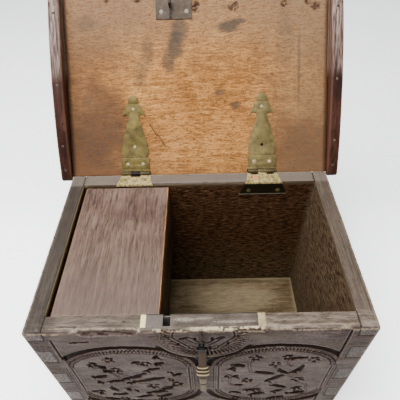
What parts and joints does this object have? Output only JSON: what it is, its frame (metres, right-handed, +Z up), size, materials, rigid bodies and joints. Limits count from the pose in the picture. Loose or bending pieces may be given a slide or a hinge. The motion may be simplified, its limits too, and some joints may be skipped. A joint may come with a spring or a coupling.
{
  "type": "donation box",
  "caption": "Carved oak offertory box, lid open, with a covered till, a mortised lock, strap hinges and a flat drop.",
  "frame": {"origin": "centre of the carcass's underside, on the surface that the box stands on", "axes": "+Z up, -Y towards the carved front, +X along the front from the till's end to the open end"},
  "size_m": [0.328, 0.3513, 0.381],
  "materials": {
    "carved_oak": "dry, carved, dark in the cuts",
    "board_oak": "dry, worn grey at the rim",
    "till_oak": "bare, handled",
    "lid_oak": "bare, stained",
    "cleat_oak": "polished, worn",
    "pale_filler": "matte",
    "iron": "dull, lightly rusted",
    "brass": "aged",
    "bronzed_brass": "aged, rubbed on the rings",
    "copper": "aged copper"
  },
  "bodies": {
    "carcass": {"back_board": "board_oak", "bolt_stud": "iron", "bottom_board": "board_oak", "bottom_nails": "iron", "copper_screw": "copper", "drill_pin": "iron", "drop_staple": "iron", "front_board": "carved_oak", "leaf_screws": "brass", "left_hinge_leaf": "brass", "left_hinge_pin": "brass", "left_side": "board_oak", "lock_case": "iron", "lock_fillets": "pale_filler", "lock_plate": "iron", "lock_screws": "iron", "right_hinge_leaf": "brass", "right_hinge_pin": "brass", "right_side": "board_oak", "till_bottom": "till_oak", "till_nails": "iron", "till_side": "till_oak"},
    "lid": {"lid_panel": "lid_oak", "left_cleat": "cleat_oak", "right_cleat": "cleat_oak", "cleat_nails": "iron", "left_hinge_strap": "brass", "right_hinge_strap": "brass", "strap_nails": "brass", "hook_plate": "iron", "lid_hook": "iron", "hook_plate_nails": "iron"},
    "till_lid": {"till_lid": "till_oak"},
    "bolt": {"lock_bolt": "iron", "bolt_spring": "iron"},
    "drop_link": {"drop_link": "iron"},
    "drop": {"flat_drop": "bronzed_brass"}
  },
  "joints": [
    {"name": "lid_hinge", "type": "hinge", "parent": "carcass", "child": "lid", "pos_m": [0, 0.1006, 0.2104], "axis": [-1, 0, 0], "range_deg": [-128, 0]},
    {"name": "till_lid_pintles", "type": "hinge", "parent": "carcass", "child": "till_lid", "pos_m": [-0.128, 0, 0.2025], "axis": [0, -1, 0], "range_deg": [0, 103]},
    {"name": "bolt_throw", "type": "slide", "parent": "carcass", "child": "bolt", "axis": [1, 0, 0], "range_m": [-0.009, 0]},
    {"name": "link_swing", "type": "hinge", "parent": "carcass", "child": "drop_link", "pos_m": [0.001, -0.1058, 0.2046], "axis": [1, 0, 0], "range_deg": [-85, 0]},
    {"name": "drop_sway", "type": "hinge", "parent": "drop_link", "child": "drop", "pos_m": [0.001, -0.1058, 0.2012], "axis": [0, 1, 0], "range_deg": [-40, 40]}
  ]
}
